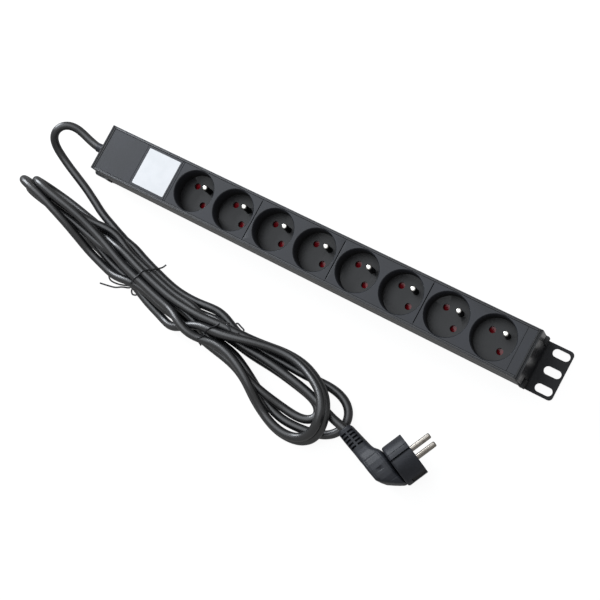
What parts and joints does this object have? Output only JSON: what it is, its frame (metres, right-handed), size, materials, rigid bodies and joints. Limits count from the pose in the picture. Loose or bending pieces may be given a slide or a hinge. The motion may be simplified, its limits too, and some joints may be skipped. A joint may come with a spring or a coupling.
{
  "type": "rack power strip",
  "caption": "Rack-mount power strip in an aluminium profile with tilted round sockets, an ear at each end, and a tied cord with an angled plug.",
  "frame": {"origin": "centre of the strip's box in x and y, at the plane of the ears' backs, without the cord", "axes": "+X along the strip away from the cord, +Y across it away from the coiled cord, +Z out of the sockets' face"},
  "size_m": [0.5339, 0.179, 0.048],
  "materials": {
    "painted_steel": "dark satin paint",
    "anodised_aluminium": "dark grey anodised, drawn along its length",
    "insert_plastic": "dark grey, fine moulded texture",
    "cap_plastic": "dark grey moulded",
    "shutter_plastic": "dark red",
    "spring_steel": "bright wire",
    "nickel_plate": "nickel plated",
    "bar_brass": "plain",
    "carrier_plastic": "natural",
    "wire_brown": "insulation",
    "wire_blue": "insulation",
    "wire_green": "insulation",
    "tie_plastic": "black",
    "plug_rubber": "dark grey satin",
    "cord_sheath": "dark grey satin"
  },
  "bodies": {
    "strip": {"bracket_left": "painted_steel", "bracket_right": "painted_steel", "busbar_earth": "bar_brass", "busbar_live": "bar_brass", "busbar_neutral": "bar_brass", "carrier_1": "carrier_plastic", "carrier_2": "carrier_plastic", "carrier_3": "carrier_plastic", "carrier_4": "carrier_plastic", "cord_clamp": "carrier_plastic", "cord_gland": "plug_rubber", "cord_hank": "cord_sheath", "cord_lead": "cord_sheath", "cord_tail": "cord_sheath", "earth_pin_1": "nickel_plate", "earth_pin_2": "nickel_plate", "earth_pin_3": "nickel_plate", "earth_pin_4": "nickel_plate", "earth_pin_5": "nickel_plate", "earth_pin_6": "nickel_plate", "earth_pin_7": "nickel_plate", "earth_pin_8": "nickel_plate", "end_cap_left": "cap_plastic", "end_cap_right": "cap_plastic", "module_1": "insert_plastic", "module_2": "insert_plastic", "module_3": "insert_plastic", "module_4": "insert_plastic", "panel_label": "insert_plastic", "panel_right": "insert_plastic", "panel_text": "insert_plastic", "plug_body": "plug_rubber", "plug_earth_clip_1": "nickel_plate", "plug_earth_clip_2": "nickel_plate", "plug_pin_1": "nickel_plate", "plug_pin_2": "nickel_plate", "profile": "anodised_aluminium", "spacer": "insert_plastic", "spring_1": "spring_steel", "spring_2": "spring_steel", "spring_3": "spring_steel", "spring_4": "spring_steel", "spring_5": "spring_steel", "spring_6": "spring_steel", "spring_7": "spring_steel", "spring_8": "spring_steel", "twist_tie_1": "tie_plastic", "twist_tie_2": "tie_plastic", "wire_earth": "wire_green", "wire_live": "wire_brown", "wire_neutral": "wire_blue"},
    "shutter_body_1": {"shutter_1": "shutter_plastic"},
    "shutter_body_2": {"shutter_2": "shutter_plastic"},
    "shutter_body_3": {"shutter_3": "shutter_plastic"},
    "shutter_body_4": {"shutter_4": "shutter_plastic"},
    "shutter_body_5": {"shutter_5": "shutter_plastic"},
    "shutter_body_6": {"shutter_6": "shutter_plastic"},
    "shutter_body_7": {"shutter_7": "shutter_plastic"},
    "shutter_body_8": {"shutter_8": "shutter_plastic"}
  },
  "joints": [
    {"name": "shutter_slide_1", "type": "slide", "parent": "strip", "child": "shutter_body_1", "axis": [-0.7071, -0.7071, 0], "range_m": [0, 0.0065], "stiffness_N_per_m": 150, "springref_m": -0.004, "deforming": ["spring_1"]},
    {"name": "shutter_slide_2", "type": "slide", "parent": "strip", "child": "shutter_body_2", "axis": [-0.7071, -0.7071, 0], "range_m": [0, 0.0065], "stiffness_N_per_m": 150, "springref_m": -0.004, "deforming": ["spring_2"]},
    {"name": "shutter_slide_3", "type": "slide", "parent": "strip", "child": "shutter_body_3", "axis": [-0.7071, -0.7071, 0], "range_m": [0, 0.0065], "stiffness_N_per_m": 150, "springref_m": -0.004, "deforming": ["spring_3"]},
    {"name": "shutter_slide_4", "type": "slide", "parent": "strip", "child": "shutter_body_4", "axis": [-0.7071, -0.7071, 0], "range_m": [0, 0.0065], "stiffness_N_per_m": 150, "springref_m": -0.004, "deforming": ["spring_4"]},
    {"name": "shutter_slide_5", "type": "slide", "parent": "strip", "child": "shutter_body_5", "axis": [-0.7071, -0.7071, 0], "range_m": [0, 0.0065], "stiffness_N_per_m": 150, "springref_m": -0.004, "deforming": ["spring_5"]},
    {"name": "shutter_slide_6", "type": "slide", "parent": "strip", "child": "shutter_body_6", "axis": [-0.7071, -0.7071, 0], "range_m": [0, 0.0065], "stiffness_N_per_m": 150, "springref_m": -0.004, "deforming": ["spring_6"]},
    {"name": "shutter_slide_7", "type": "slide", "parent": "strip", "child": "shutter_body_7", "axis": [-0.7071, -0.7071, 0], "range_m": [0, 0.0065], "stiffness_N_per_m": 150, "springref_m": -0.004, "deforming": ["spring_7"]},
    {"name": "shutter_slide_8", "type": "slide", "parent": "strip", "child": "shutter_body_8", "axis": [-0.7071, -0.7071, 0], "range_m": [0, 0.0065], "stiffness_N_per_m": 150, "springref_m": -0.004, "deforming": ["spring_8"]}
  ]
}
